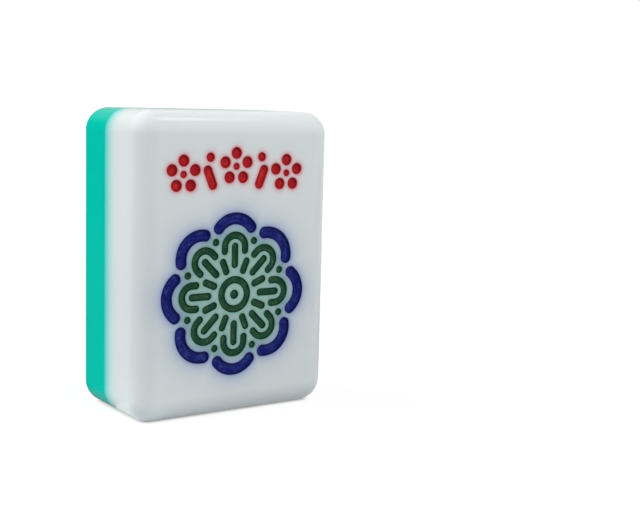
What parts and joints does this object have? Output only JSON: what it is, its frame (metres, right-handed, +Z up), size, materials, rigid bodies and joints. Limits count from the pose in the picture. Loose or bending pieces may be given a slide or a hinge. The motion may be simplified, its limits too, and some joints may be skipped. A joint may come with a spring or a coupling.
{
  "type": "mahjong tile",
  "caption": "Two-layer mahjong tile, white engraved face on a green back, rounded edges, with enamel-filled medallion and blossoms.",
  "frame": {"origin": "middle of the bottom end, on the surface that the tile stands on", "axes": "+Z up through the 30 mm height; the engraved white face looks along -Y; +X to the right when looking at the face"},
  "size_m": [0.022, 0.0132, 0.03],
  "materials": {
    "white_resin": "polished cast resin, slightly translucent",
    "green_resin": "polished cast resin, slightly translucent",
    "blue_enamel": "hardened enamel paint, semi-gloss",
    "green_enamel": "hardened enamel paint, semi-gloss",
    "red_enamel": "hardened enamel paint, semi-gloss"
  },
  "bodies": {
    "root": {"front_layer": "white_resin", "back_layer": "green_resin", "border_enamel_1": "blue_enamel", "border_enamel_2": "blue_enamel", "border_enamel_3": "blue_enamel", "border_enamel_4": "blue_enamel", "border_enamel_5": "blue_enamel", "border_enamel_6": "blue_enamel", "border_enamel_7": "blue_enamel", "border_enamel_8": "blue_enamel", "arch_enamel_1": "green_enamel", "arch_enamel_2": "green_enamel", "arch_enamel_3": "green_enamel", "arch_enamel_4": "green_enamel", "arch_enamel_5": "green_enamel", "arch_enamel_6": "green_enamel", "arch_enamel_7": "green_enamel", "arch_enamel_8": "green_enamel", "tip_enamel_1": "green_enamel", "tip_enamel_2": "green_enamel", "tip_enamel_3": "green_enamel", "tip_enamel_4": "green_enamel", "tip_enamel_5": "green_enamel", "tip_enamel_6": "green_enamel", "tip_enamel_7": "green_enamel", "tip_enamel_8": "green_enamel", "stamen_enamel_1": "green_enamel", "stamen_enamel_2": "green_enamel", "stamen_enamel_3": "green_enamel", "stamen_enamel_4": "green_enamel", "stamen_enamel_5": "green_enamel", "stamen_enamel_6": "green_enamel", "stamen_enamel_7": "green_enamel", "stamen_enamel_8": "green_enamel", "spoke_enamel_1": "green_enamel", "spoke_enamel_2": "green_enamel", "spoke_enamel_3": "green_enamel", "spoke_enamel_4": "green_enamel", "spoke_enamel_5": "green_enamel", "spoke_enamel_6": "green_enamel", "spoke_enamel_7": "green_enamel", "spoke_enamel_8": "green_enamel", "hub_ring_enamel": "green_enamel", "hub_dot_enamel": "green_enamel", "blossom_enamel_left": "red_enamel", "blossom_enamel_middle": "red_enamel", "blossom_enamel_right": "red_enamel", "leaf_enamel_left": "red_enamel", "leaf_enamel_right": "red_enamel", "bud_enamel_left": "red_enamel", "bud_enamel_right": "red_enamel"}
  },
  "joints": []
}
